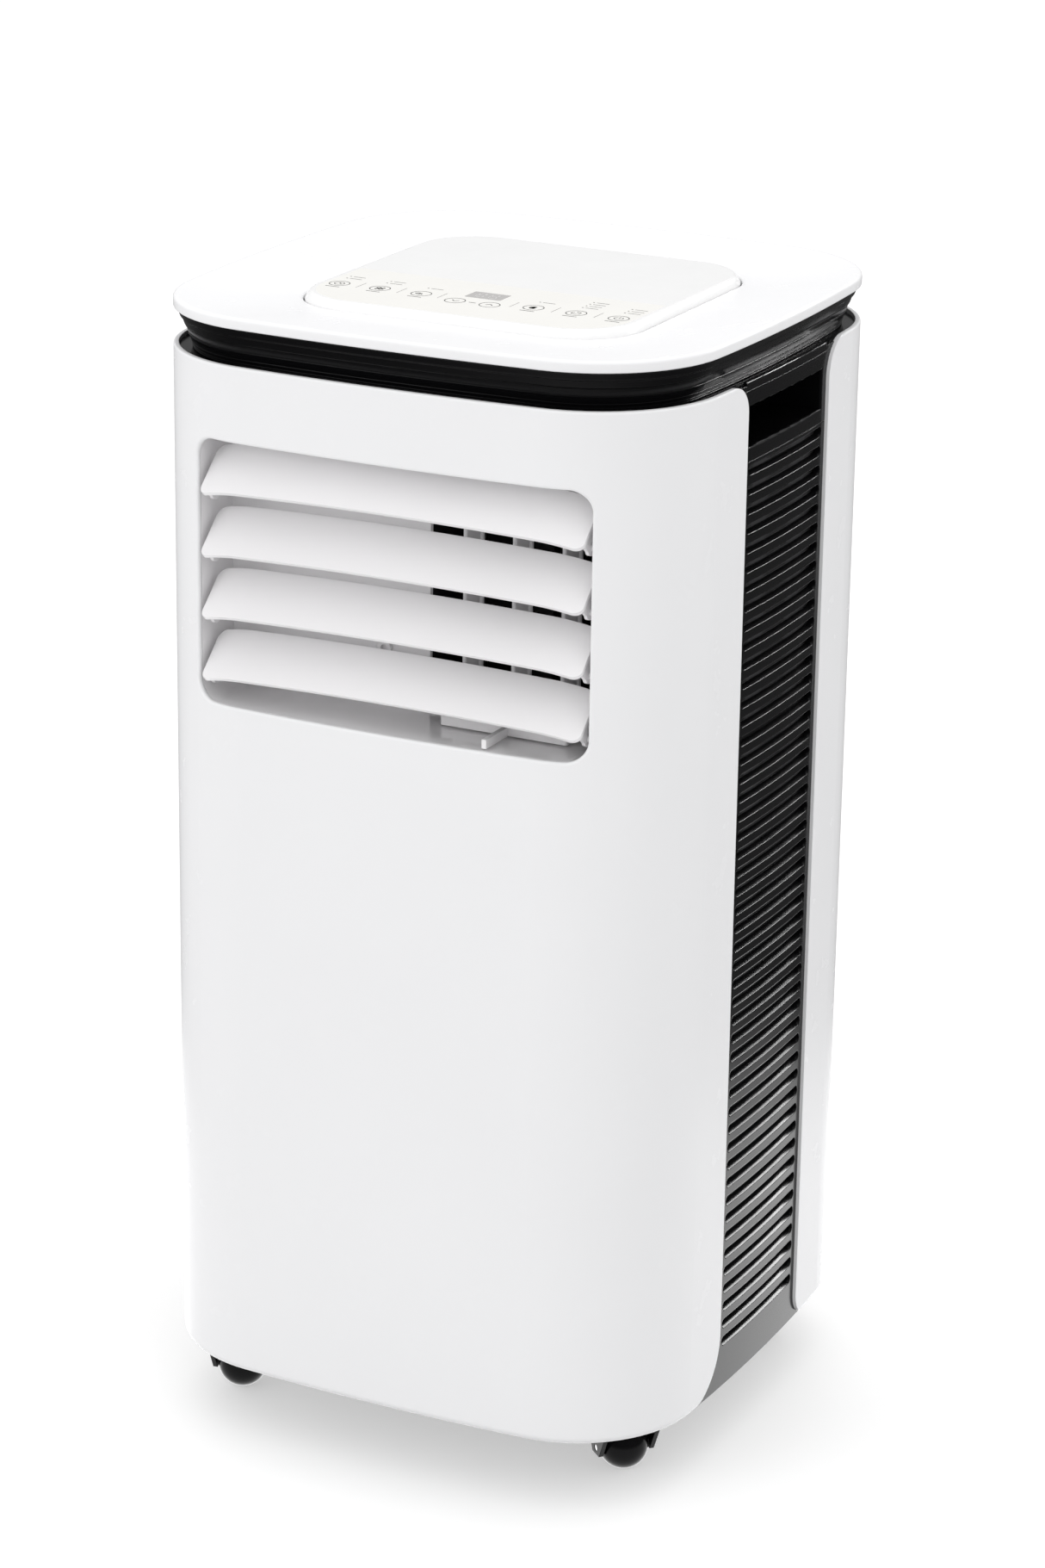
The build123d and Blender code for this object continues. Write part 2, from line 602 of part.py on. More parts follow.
for vane_index, vane_x in enumerate(VANE_X):
    with BuildPart() as vane:
        with BuildSketch(Plane.XY.offset(VANE_BOTTOM)):
            with Locations((vane_x, (VANE_FRONT_Y + VANE_BACK_Y) / 2)):
                SlotOverall(VANE_BACK_Y - VANE_FRONT_Y, VANE_THICK, rotation=90)
            with Locations((vane_x, VANE_PIVOT_Y)):
                Circle(VANE_SHAFT_R + 0.6)
        extrude(amount=VANE_TOP - VANE_BOTTOM)
        with BuildSketch(Plane.XY.offset(OUTLET_BOTTOM - 1.4)):
            with Locations((vane_x, VANE_PIVOT_Y)):
                Circle(VANE_SHAFT_R)
        extrude(amount=OUTLET_TOP - OUTLET_BOTTOM + 2.4)
        with BuildSketch(Plane.XY.offset(VANE_BOTTOM)):
            with Locations((vane_x, (VANE_PIN_Y + VANE_FRONT_Y + 4) / 2)):
                SlotOverall(VANE_FRONT_Y + 7 - VANE_PIN_Y, 5, rotation=90)
        extrude(amount=2.4)
        with BuildSketch(Plane.XY.offset(VANE_LINK_Z[0] + 1)):
            with Locations((vane_x, VANE_PIN_Y)):
                Circle(PIN_R)
        extrude(amount=VANE_BOTTOM - VANE_LINK_Z[0])
    finish(vane, f"vane_{vane_index + 1}")

with BuildPart() as vane_link:
    left, right, near, far = VANE_LINK
    floor_z, crest_z = VANE_LINK_Z
    add(box_between((left, near, floor_z), (right, far, crest_z)))
    fillet(vane_link.edges().filter_by(Axis.Z), 1.5)
    add(box_between((VANE_TAB_X - VANE_TAB_HALF, VANE_TAB_Y, floor_z),
                    (VANE_TAB_X + VANE_TAB_HALF, near + 1, crest_z)))
    with BuildSketch(Plane.XY.offset(floor_z - 1)):
        with Locations(*[(x, VANE_PIN_Y) for x in VANE_X]):
            Circle(PIN_R + RUNNING)
    extrude(amount=20, mode=Mode.SUBTRACT)
finish(vane_link, "vane_link")


# ---- Fans ------------------------------------------------------------------------------

def build_impeller(centre, back, front):
    """A squirrel-cage fan wheel: a back disc with a hub, curved blades and a front ring."""
    x, z = centre
    with BuildPart() as wheel:
        with BuildSketch(Plane(origin=(x, front, z), z_dir=(0, 1, 0))):
            Circle(FAN_R)
            Circle(4.0 + RUNNING, mode=Mode.SUBTRACT)
        extrude(amount=2)
        with BuildSketch(Plane(origin=(x, front, z), z_dir=(0, 1, 0))):
            Circle(11)
            Circle(4.0 + RUNNING, mode=Mode.SUBTRACT)
        extrude(amount=22)
        with BuildSketch(Plane(origin=(x, back - 3, z), z_dir=(0, 1, 0))):
            Circle(FAN_R)
            Circle(FAN_R - 13, mode=Mode.SUBTRACT)
        extrude(amount=3)
        with BuildSketch(Plane(origin=(x, front, z), z_dir=(0, 1, 0))):
            with PolarLocations(FAN_R - 6.5, FAN_BLADES):
                Rectangle(13, 1.6, rotation=35)
        extrude(amount=back - front)
    return wheel


def build_motor(centre, front, back, shaft_end, radius):
    """A fan motor: a can with end bells, a mounting plate and its shaft."""
    x, z = centre
    with BuildPart() as motor:
        with BuildSketch(Plane(origin=(x, front, z), z_dir=(0, 1, 0))):
            Circle(radius)
        extrude(amount=back - front)
        fillet(motor.edges().filter_by(GeomType.CIRCLE), 5)
        with BuildSketch(Plane(origin=(x, (front + back) / 2, z), z_dir=(0, 1, 0))):
            RectangleRounded(2.5 * radius, 1.2 * radius, 6)
        extrude(amount=2)
        with BuildSketch(Plane(origin=(x, back - 6, z), z_dir=(0, 1, 0))):
            Circle(4.0)
        extrude(amount=shaft_end - back + 6)
    return motor


finish(build_impeller(FAN_CENTRE["upper"], 46, -34), "upper_impeller")
finish(build_motor(FAN_CENTRE["upper"], -114, -56, -8, 40), "upper_fan_motor")
finish(build_impeller(FAN_CENTRE["lower"], 98, 46), "lower_impeller")
finish(build_motor(FAN_CENTRE["lower"], -32, 28, 72, 38), "lower_fan_motor")

with BuildPart() as upper_scroll:
    fan_x, fan_z = FAN_CENTRE["upper"]
    front_y, back_y = UPPER_FAN_Y
    for shrink, low_y, high_y in ((0, front_y, back_y), (SCROLL_WALL, front_y + 2.5, back_y - 2.5)):
        with BuildSketch(Plane(origin=(0, low_y, 0), x_dir=(1, 0, 0), z_dir=(0, -1, 0))):
            with Locations((fan_x, fan_z)):
                Circle(84 - shrink)
            with Locations(((fan_x + OUTLET_HALF) / 2, (OUTLET_BOTTOM + OUTLET_TOP) / 2)):
                Rectangle(OUTLET_HALF - fan_x - 2 * shrink, OUTLET_TOP - OUTLET_BOTTOM - 2 * shrink)
        extrude(amount=low_y - high_y, mode=Mode.SUBTRACT if shrink else Mode.ADD)
    with BuildSketch(Plane.XZ.offset(-front_y - 5)):
        with Locations(((DUCT_LEFT + OUTLET_HALF) / 2 + 20, (OUTLET_BOTTOM + OUTLET_TOP) / 2)):
            Rectangle(OUTLET_HALF - DUCT_LEFT - 46, OUTLET_TOP - OUTLET_BOTTOM - 8)
        with Locations((fan_x, fan_z)):
            Circle(18)
    extrude(amount=20, mode=Mode.SUBTRACT)
    with BuildSketch(Plane.XZ.offset(-back_y - 5)):
        with Locations((fan_x, fan_z)):
            Circle(56)
    extrude(amount=20, mode=Mode.SUBTRACT)
finish(upper_scroll, "upper_scroll")

LOWER_DUCT_HALF = 76.0
LOWER_DUCT_TOP = 426.0

with BuildPart() as lower_scroll:
    fan_x, fan_z = FAN_CENTRE["lower"]
    front_y, back_y = LOWER_FAN_Y
    for shrink, low_y, high_y in ((0, front_y, back_y), (SCROLL_WALL, front_y + 2.5, back_y - 2.5)):
        with BuildSketch(Plane(origin=(0, low_y, 0), x_dir=(1, 0, 0), z_dir=(0, -1, 0))):
            with Locations((fan_x, fan_z)):
                Circle(84 - shrink)
            with Locations((0, (EXHAUST_Z + fan_z + 70) / 2)):
                Rectangle(60, EXHAUST_Z - fan_z - 70)
            with Locations((0, EXHAUST_Z)):
                Rectangle(2 * (LOWER_DUCT_HALF - shrink), 2 * (LOWER_DUCT_TOP - EXHAUST_Z - shrink))
        extrude(amount=low_y - high_y, mode=Mode.SUBTRACT if shrink else Mode.ADD)
    with BuildSketch(Plane.XZ.offset(-back_y + 5)):
        with Locations((0, EXHAUST_Z)):
            Circle(EXHAUST_R)
        with Locations((fan_x, fan_z)):
            Circle(56)
    extrude(amount=-20, mode=Mode.SUBTRACT)
    with BuildSketch(Plane.XZ.offset(-front_y - 5)):
        with Locations((fan_x, fan_z)):
            Circle(18)
    extrude(amount=20, mode=Mode.SUBTRACT)
finish(lower_scroll, "lower_scroll")


# ---- Refrigeration circuit -------------------------------------------------------------

def build_coil(half_width, y_front, y_back, low, high):
    """A finned coil: vertical fins on a core, two end plates and return bends."""
    fin_pitch = 3.2
    fins = int(2 * half_width / fin_pitch) - 2
    with BuildPart() as coil:
        add(box_between((-half_width, y_front, low), (half_width, y_back, high)))
        with BuildSketch(Plane.XY.offset(low - 1)):
            for groove_y in (y_front + 3, y_back - 3):
                with Locations((0, groove_y)):
                    with GridLocations(fin_pitch, 1, fins, 1):
                        Rectangle(1.8, 6.5)
        extrude(amount=high - low + 2, mode=Mode.SUBTRACT)
        for side in (-1, 1):
            for row_z in range(int(low) + 14, int(high) - 12, 26):
                with BuildSketch(Plane.YZ.offset(side * half_width)):
                    with Locations(((y_front + y_back) / 2, row_z)):
                        SlotOverall(18, 6)
                extrude(amount=side * 8)
    return coil


finish(build_coil(104, 122, 146, 470, 632), "evaporator_coil")
finish(build_coil(104, 120, 148, 76, 262), "condenser_coil")

COMPRESSOR = (-78.0, -40.0)
FOOT_SPOTS = [(COMPRESSOR[0] + 56 * cos(radians(a)), COMPRESSOR[1] + 56 * sin(radians(a)))
              for a in (90, 210, 330)]

with BuildPart() as compressor:
    with BuildSketch(Plane.XY.offset(72)):
        with Locations(COMPRESSOR):
            Circle(48)
    extrude(amount=150)
    fillet(compressor.edges().filter_by(GeomType.CIRCLE), 20)
    with BuildSketch(Plane.XY.offset(72)):
        with Locations(COMPRESSOR):
            RegularPolygon(72, 3, rotation=30)
        with Locations(*FOOT_SPOTS):
            Circle(4.2, mode=Mode.SUBTRACT)
    extrude(amount=3)
    with BuildSketch(Plane.XY.offset(218)):
        with Locations((COMPRESSOR[0], COMPRESSOR[1])):
            Circle(9)
    extrude(amount=12)
finish(compressor, "compressor")

with BuildPart() as compressor_feet:
    for foot in FOOT_SPOTS:
        with BuildSketch(Plane.XY.offset(BODY_BOTTOM + 2 * WALL + 0.2)):
            with Locations(foot):
                Circle(9)
        extrude(amount=72 - BODY_BOTTOM - 2 * WALL - 0.3)
        with BuildSketch(Plane.XY.offset(71)):
            with Locations(foot):
                Circle(4.0)
        extrude(amount=9)
finish(compressor_feet, "compressor_feet")

with BuildPart() as accumulator:
    with BuildSketch(Plane.XY.offset(96)):
        with Locations((-112, 36)):
            Circle(19)
    extrude(amount=110)
    fillet(accumulator.edges().filter_by(GeomType.CIRCLE), 12)
finish(accumulator, "accumulator")

PIPE_R = 3.2
PIPE_ROUTES = [
    [(-78, -40, 231), (-78, -40, 300), (-130, 20, 300), (-130, 120, 300), (-130, 134, 240)],
    [(-112, 36, 206.5), (-112, 36, 330), (-140, 60, 380), (-140, 60, 440)],
]

with BuildPart() as refrigerant_pipes:
    for route in PIPE_ROUTES:
        with BuildLine() as line:
            FilletPolyline(*route, radius=12)
        start = Vector(*route[0])
        with BuildSketch(Plane(origin=start, z_dir=Vector(*route[1]) - start)):
            Circle(PIPE_R)
        sweep(path=line.line)
finish(refrigerant_pipes, "refrigerant_pipes")

with BuildPart() as electrical_box:
    add(box_between((96, -100, 280), (140, -16, 420)))
    add(box_between((98, -98, 282), (138, -18, 421)), mode=Mode.SUBTRACT)
    add(box_between((95, -101, 420), (141, -15, 422)))
finish(electrical_box, "electrical_box")

with BuildPart() as run_capacitor:
    with BuildSketch(Plane.XY.offset(282.2)):
        with Locations((118, -50)):
            Circle(17.5)
    extrude(amount=84)
    fillet(run_capacitor.edges().filter_by(GeomType.CIRCLE), 2)
    with Locations((112, -50, 369), (124, -50, 369)):
        Box(1, 6.3, 8)
finish(run_capacitor, "run_capacitor")


# ---- Rear fittings ---------------------------------------------------------------------

def crowned_insert(low, high, outer_inset, thickness, gap):
    """A cover that fills a rear window, crowned like the casing."""
    with BuildPart(mode=Mode.PRIVATE) as cover:
        add(casing_slab(outer_inset, low + gap, high - gap))
        add(casing_slab(outer_inset + thickness, low - 1, high + 1), mode=Mode.SUBTRACT)
        with BuildSketch(Plane.XZ.offset(-HALF + 40)):
            with Locations((0, (low + high) / 2)):
                RectangleRounded(2 * (INTAKE_HALF - gap), high - low - 2 * gap,
                                 INTAKE_CORNER_R - gap)
        extrude(amount=-60, mode=Mode.INTERSECT)
    return cover.part


def slot_field(low, high, columns):
    """Rows of horizontal intake slots, as cutters right through a rear cover."""
    slot_pitch = 8.0
    rows = int((high - low - 16) / slot_pitch)
    with BuildPart(mode=Mode.PRIVATE) as cutters:
        with BuildSketch(Plane.XZ.offset(-HALF + 30)):
            with Locations((0, (low + high) / 2)):
                with GridLocations(2 * INTAKE_HALF / columns - 3, slot_pitch, columns, rows):
                    SlotOverall(2 * INTAKE_HALF / columns - 11, 4.6)
        extrude(amount=-60)
    return cutters.part


with BuildPart() as lower_intake_grille:
    add(crowned_insert(*LOWER_INTAKE, 0.6, 3, 0.2))
    add(slot_field(*LOWER_INTAKE, 3), mode=Mode.SUBTRACT)
finish(lower_intake_grille, "lower_intake_grille")

with BuildPart() as filter_frame:
    add(crowned_insert(*UPPER_INTAKE, 0.6, 3, 0.8))
    add(slot_field(*UPPER_INTAKE, 3), mode=Mode.SUBTRACT)
    pull_z = UPPER_INTAKE[1] - 6
    for x in (-60, 60):
        with BuildSketch(Plane.XZ.offset(-HALF + 30)):
            with Locations((x, pull_z + 0.4)):
                SlotOverall(26, 4)
        extrude(amount=-60, mode=Mode.SUBTRACT)
finish(filter_frame, "filter_frame")

with BuildPart() as filter_mesh:
    add(crowned_insert(UPPER_INTAKE[0] + 4, UPPER_INTAKE[1] - 4, 3.8, 1.2, 1.0))
    add(box_between((-INTAKE_HALF + 4, 100, 400), (INTAKE_HALF - 4, HALF, 700)), mode=Mode.INTERSECT)
finish(filter_mesh, "filter_mesh")

with BuildPart() as exhaust_collar:
    with BuildSketch(Plane.XZ.offset(-LOWER_FAN_Y[1] - 0.2)):
        with Locations((0, EXHAUST_Z)):
            Circle(EXHAUST_R + 3)
    extrude(amount=-(REAR_MOST - LOWER_FAN_Y[1] - 0.2))
    with BuildSketch(Plane.XZ.offset(-HALF - 0.1)):
        with Locations((0, EXHAUST_Z)):
            Circle(EXHAUST_R + 14)
    extrude(amount=-(REAR_MOST - HALF - 0.1))
    with BuildSketch(Plane.XZ.offset(-LOWER_FAN_Y[1])):
        with Locations((0, EXHAUST_Z)):
            Circle(EXHAUST_R)
    extrude(amount=-80, mode=Mode.SUBTRACT)
finish(exhaust_collar, "exhaust_collar")

for cap_name, cap_spot in DRAINS.items():
    with BuildPart() as drain_cap:
        with BuildSketch(Plane.XZ.offset(-HALF + 6)):
            with Locations(cap_spot):
                Circle(DRAIN_CAP_R)
        extrude(amount=-5.2)
        with BuildSketch(Plane.XZ.offset(-HALF + 1)):
            with Locations(cap_spot):
                RectangleRounded(12, 3, 1.4)
        extrude(amount=-1.6)
    finish(drain_cap, cap_name)

with BuildPart() as cord_gland:
    with BuildSketch(Plane.XZ.offset(-HALF + 16)):
        with Locations(GLAND):
            Circle(GLAND_R)
    extrude(amount=-15.4)
    with BuildSketch(Plane.XZ.offset(-HALF + 20)):
        with Locations(GLAND):
            Circle(CORD_HOLE_R)
    extrude(amount=-40, mode=Mode.SUBTRACT)
finish(cord_gland, "cord_gland")


# ---- Casters ---------------------------------------------------------------------------

EAR_INNER = 15.2
EAR_OUTER = 18.0
FORK_TOP = BODY_BOTTOM - 0.6


def caster_plane(x, y, heading):
    """Plane whose x axis points the way the wheel trails and whose origin is on the floor."""
    return Plane(origin=(x, y, 0), x_dir=(cos(radians(heading)), sin(radians(heading)), 0))


for place, (stem_x, stem_y, heading) in CASTERS.items():
    floor = caster_plane(stem_x, stem_y, heading)
    side_view = Plane(origin=floor.origin, x_dir=floor.x_dir, z_dir=-floor.y_dir)
    with BuildPart() as caster_fork:
        with BuildSketch(side_view):
            with BuildLine():
                Polyline((-13, FORK_TOP), (21, FORK_TOP), (20, 24), (13, 11), (3, 11), (-7, 30),
                         close=True)
            make_face()
            with Locations((CASTER_TRAIL, CASTER_R)):
                Circle(CASTER_AXLE_R, mode=Mode.SUBTRACT)
        extrude(amount=EAR_OUTER, both=True)
        with BuildSketch(side_view):
            with Locations((CASTER_TRAIL, CASTER_R)):
                Circle(CASTER_R + 1.2)
            with Locations((CASTER_TRAIL, 5)):
                Rectangle(60, 20)
        extrude(amount=EAR_INNER, both=True, mode=Mode.SUBTRACT)
        with BuildSketch(floor.offset(FORK_TOP - 6)):
            Circle(EAR_OUTER)
        extrude(amount=6)
        with BuildSketch(side_view):
            with Locations((CASTER_TRAIL, CASTER_R)):
                Circle(CASTER_R + 1.2)
        extrude(amount=EAR_INNER, both=True, mode=Mode.SUBTRACT)
        with BuildSketch(floor.offset(FORK_TOP)):
            Circle(CASTER_STEM_R)
        extrude(amount=16)
    finish(caster_fork, f"caster_fork_{place}")

    with BuildPart() as caster_axle:
        with BuildSketch(side_view):
            with Locations((CASTER_TRAIL, CASTER_R)):
                Circle(CASTER_AXLE_R)
        extrude(amount=EAR_OUTER - 0.3, both=True)
    finish(caster_axle, f"caster_axle_{place}")

    with BuildPart() as caster_wheel:
        hub = floor.from_local_coords(Vector(CASTER_TRAIL, 0, CASTER_R))
        with Locations(Plane(origin=hub, x_dir=floor.x_dir, z_dir=-floor.y_dir)):
            Sphere(CASTER_R)
        with BuildSketch(side_view):
            with Locations((CASTER_TRAIL, CASTER_R)):
                Circle(CASTER_R + 5)
                Circle(CASTER_AXLE_R + RUNNING, mode=Mode.SUBTRACT)
        extrude(amount=14.2, both=True, mode=Mode.INTERSECT)
    finish(caster_wheel, f"caster_wheel_{place}")
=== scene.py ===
"""Studio scene of the portable air conditioner: finishes, fine detail, light and camera."""
import json
from math import atan2, cos, hypot, pi, radians, sin, sqrt

import bpy
import bmesh
from mathutils import Matrix, Vector


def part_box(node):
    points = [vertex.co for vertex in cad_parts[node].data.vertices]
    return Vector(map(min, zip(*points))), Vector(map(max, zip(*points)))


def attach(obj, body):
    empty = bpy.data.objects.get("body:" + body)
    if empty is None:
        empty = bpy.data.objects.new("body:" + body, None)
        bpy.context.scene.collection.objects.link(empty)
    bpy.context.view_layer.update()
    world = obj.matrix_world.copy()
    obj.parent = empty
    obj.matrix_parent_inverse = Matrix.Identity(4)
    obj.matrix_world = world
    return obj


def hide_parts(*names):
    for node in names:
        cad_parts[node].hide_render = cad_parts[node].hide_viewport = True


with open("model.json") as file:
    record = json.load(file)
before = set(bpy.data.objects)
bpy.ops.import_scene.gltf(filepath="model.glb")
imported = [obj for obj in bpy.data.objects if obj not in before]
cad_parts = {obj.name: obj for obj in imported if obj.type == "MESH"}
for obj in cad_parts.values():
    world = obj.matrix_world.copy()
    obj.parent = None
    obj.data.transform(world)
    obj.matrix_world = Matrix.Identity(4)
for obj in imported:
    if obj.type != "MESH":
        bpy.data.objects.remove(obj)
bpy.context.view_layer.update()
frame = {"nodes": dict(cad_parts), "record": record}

NODES = frame["nodes"]
MM = 0.001


# ---- Camera ----------------------------------------------------------------------------

CAMERA_PLACE = Vector((1.1452, -2.2887, 1.2629))
CAMERA_YAW = radians(26.49)
CAMERA_PITCH = radians(18.93)
CAMERA_ROLL = radians(0.83)
CAMERA_LENS = 102.64


def make_camera():
    """A long lens at the studio's viewing angle: from the right, a little above."""
    forward = Vector((-sin(CAMERA_YAW) * cos(CAMERA_PITCH),
                      cos(CAMERA_YAW) * cos(CAMERA_PITCH), -sin(CAMERA_PITCH)))
    level = Vector((cos(CAMERA_YAW), sin(CAMERA_YAW), 0))
    upright = level.cross(forward)
    right = level * cos(CAMERA_ROLL) + upright * sin(CAMERA_ROLL)
    up = upright * cos(CAMERA_ROLL) - level * sin(CAMERA_ROLL)
    camera = bpy.data.objects.new("camera", bpy.data.cameras.new("camera"))
    bpy.context.scene.collection.objects.link(camera)
    camera.data.lens = CAMERA_LENS
    camera.data.sensor_width = 36
    camera.data.clip_end = 50
    turn = Matrix((right, up, -forward)).transposed().to_4x4()
    camera.matrix_world = Matrix.Translation(CAMERA_PLACE) @ turn
    bpy.context.scene.camera = camera


make_camera()


# ---- Material helpers ------------------------------------------------------------------

def new_material(name):
    """An empty node material and its principled shader."""
    material = bpy.data.materials.new(name)
    material.use_nodes = True
    shader = material.node_tree.nodes["Principled BSDF"]
    return material, shader


def add_node(material, kind, inputs=None, **settings):
    """A node with its settings and socket values."""
    node = material.node_tree.nodes.new(kind)
    for key, value in settings.items():
        setattr(node, key, value)
    for key, value in (inputs or {}).items():
        node.inputs[key].default_value = value
    return node


def link(material, source, target):
    material.node_tree.links.new(source, target)


def object_noise(material, scale, detail=3.0, roughness=0.5, stretch=(1, 1, 1)):
    """A noise texture fixed to the object's own coordinates."""
    place = add_node(material, "ShaderNodeTexCoord")
    mapping = add_node(material, "ShaderNodeMapping", {"Scale": stretch})
    noise = add_node(material, "ShaderNodeTexNoise",
                     {"Scale": scale, "Detail": detail, "Roughness": roughness})
    link(material, place.outputs["Object"], mapping.inputs["Vector"])
    link(material, mapping.outputs["Vector"], noise.inputs["Vector"])
    return noise.outputs["Fac"]


def span(material, factor, low, high):
    """A number that runs from low to high with a 0..1 factor."""
    node = add_node(material, "ShaderNodeMapRange", {"To Min": low, "To Max": high})
    link(material, factor, node.inputs["Value"])
    return node.outputs["Result"]


def tint(material, factor, dark, light):
    """A colour that runs between two colours with a factor."""
    ramp = add_node(material, "ShaderNodeValToRGB")
    ramp.color_ramp.elements[0].position = 0.3
    ramp.color_ramp.elements[1].position = 0.7
    ramp.color_ramp.elements[0].color = (*dark, 1)
    ramp.color_ramp.elements[1].color = (*light, 1)
    link(material, factor, ramp.inputs["Fac"])
    return ramp.outputs["Color"]


def surface_normal(material, shader, height, strength, distance, edge_radius):
    """Fine grain over softly rounded edges."""
    grain = add_node(material, "ShaderNodeBump", {"Strength": strength, "Distance": distance})
    link(material, height, grain.inputs["Height"])
    if edge_radius:
        edges = add_node(material, "ShaderNodeBevel", {"Radius": edge_radius}, samples=6)
        link(material, edges.outputs["Normal"], grain.inputs["Normal"])
    link(material, grain.outputs["Normal"], shader.inputs["Normal"])


def moulded(name, colour, roughness, spread=0.05, grain=900, grain_depth=0.00002,
            grain_strength=0.15, variation=0.02, coat=0.0, specular=0.5, edge=0.0006):
    """Moulded plastic: slightly uneven colour and gloss, and a fine surface grain."""
    material, shader = new_material(name)
    broad = object_noise(material, 9, 2)
    dark = tuple(max(c * (1 - variation), 0) for c in colour)
    link(material, tint(material, broad, dark, colour), shader.inputs["Base Color"])
    smudge = object_noise(material, 38, 4, 0.6)
    link(material, span(material, smudge, roughness - spread, roughness + spread),
         shader.inputs["Roughness"])
    surface_normal(material, shader, object_noise(material, grain, 2), grain_strength,
                   grain_depth, edge)
    shader.inputs["Specular IOR Level"].default_value = specular
    shader.inputs["Coat Weight"].default_value = coat
    shader.inputs["Coat Roughness"].default_value = 0.05
    return material


def metal(name, colour, roughness, stretch=(1, 1, 1), scale=200):
    """Bare metal with fine drawn or brushed lines."""
    material, shader = new_material(name)
    lines = object_noise(material, scale, 3, 0.6, stretch)
    dark = tuple(c * 0.82 for c in colour)
    link(material, tint(material, lines, dark, colour), shader.inputs["Base Color"])
    link(material, span(material, lines, roughness - 0.08, roughness + 0.08),
         shader.inputs["Roughness"])
    surface_normal(material, shader, lines, 0.2, 0.00005, 0.0003)
    shader.inputs["Metallic"].default_value = 1
    return material


def woven(name, colour, pitch):
    """An open square weave of fine nylon thread."""
    material, shader = new_material(name)
    place = add_node(material, "ShaderNodeTexCoord")
    split = add_node(material, "ShaderNodeSeparateXYZ")
    link(material, place.outputs["Object"], split.inputs["Vector"])
    waves = []
    for axis in ("X", "Z"):
        turns = add_node(material, "ShaderNodeMath", {1: 2 * pi / pitch}, operation="MULTIPLY")
        wave = add_node(material, "ShaderNodeMath", operation="SINE")
        link(material, split.outputs[axis], turns.inputs[0])
        link(material, turns.outputs[0], wave.inputs[0])
        waves.append(wave.outputs[0])
    thread = add_node(material, "ShaderNodeMath", operation="MAXIMUM")
    link(material, waves[0], thread.inputs[0])
    link(material, waves[1], thread.inputs[1])
    dark = tuple(c * 0.25 for c in colour)
    link(material, tint(material, thread.outputs[0], dark, colour), shader.inputs["Base Color"])
    surface_normal(material, shader, thread.outputs[0], 0.8, 0.0003, 0)
    shader.inputs["Roughness"].default_value = 0.6
    return material


FINISHES = {
    "white_shell": moulded("white_shell", (0.87, 0.87, 0.88), 0.26, specular=0.04, grain=220,
                           grain_depth=0.00003, grain_strength=0.05, variation=0.012,
                           edge=0.001),
    "white_pad": moulded("white_pad", (0.9, 0.9, 0.9), 0.25, specular=0.3, grain=300,
                         grain_strength=0.05, variation=0.01),
    "cream_overlay": moulded("cream_overlay", (0.87, 0.86, 0.83), 0.42, grain=1800,
                             grain_strength=0.12, variation=0.012, edge=0),
    "grey_window": moulded("grey_window", (0.60, 0.585, 0.575), 0.2, coat=0.5, variation=0.05,
                           grain=500, edge=0),
    "gloss_black": moulded("gloss_black", (0.0035, 0.0035, 0.004), 0.17, 0.04, grain=420,
                           grain_strength=0.05, variation=0.2, specular=0.2, edge=0.0007),
    "outlet_white": moulded("outlet_white", (0.90, 0.89, 0.90), 0.13, 0.03, grain=240,
                            grain_strength=0.04, coat=0.5, variation=0.02),
    "blade_white": moulded("blade_white", (0.88, 0.87, 0.88), 0.32, grain=420,
                           grain_strength=0.05, coat=0.12, variation=0.015),
    "vane_white": moulded("vane_white", (0.88, 0.87, 0.88), 0.38, variation=0.02),
    "black_plastic": moulded("black_plastic", (0.012, 0.012, 0.0125), 0.48, 0.06, grain=1500,
                             grain_strength=0.35, grain_depth=0.00006, variation=0.2,
                             specular=0.35),
    "fan_plastic": moulded("fan_plastic", (0.05, 0.05, 0.055), 0.5, 0.06, variation=0.15),
    "mesh": woven("mesh", (0.05, 0.05, 0.053), 0.0012),
    "black_rubber": moulded("black_rubber", (0.013, 0.013, 0.013), 0.7, 0.08, grain=1400,
                            grain_strength=0.3, variation=0.2),
    "coil_aluminium": metal("coil_aluminium", (0.78, 0.80, 0.83), 0.36, (1, 1, 0.05), 700),
    "copper": metal("copper", (0.85, 0.46, 0.30), 0.3, (1, 1, 0.2), 260),
    "black_enamel": moulded("black_enamel", (0.01, 0.01, 0.011), 0.26, 0.05, coat=0.4,
                            grain=160, grain_strength=0.2, variation=0.2),
    "motor_steel": metal("motor_steel", (0.60, 0.60, 0.61), 0.42, (1, 0.1, 1), 300),
    "capacitor_can": metal("capacitor_can", (0.80, 0.80, 0.82), 0.32, (1, 1, 0.05), 300),
    "circuit_board": moulded("circuit_board", (0.012, 0.10, 0.04), 0.35, coat=0.4,
                             variation=0.2),
    "screw_steel": metal("screw_steel", (0.62, 0.62, 0.63), 0.3, (1, 1, 1), 500),
    "caster_black": moulded("caster_black", (0.006, 0.006, 0.0065), 0.16, 0.05, grain=1100,
                            grain_strength=0.15, variation=0.15, specular=0.05),
    "wheel_black": moulded("wheel_black", (0.006, 0.006, 0.0065), 0.18, 0.06, grain=700,
                           grain_strength=0.12, variation=0.2, specular=0.05),
    "ink": moulded("printed_ink", (0.07, 0.068, 0.065), 0.5, variation=0.1, edge=0),
}

for row in frame["record"]["subparts"]:
    node = NODES[row["node"]]
    node.data.materials.clear()
    node.data.materials.append(FINISHES[row["material_slot"]])


# ---- Mesh helpers ----------------------------------------------------------------------

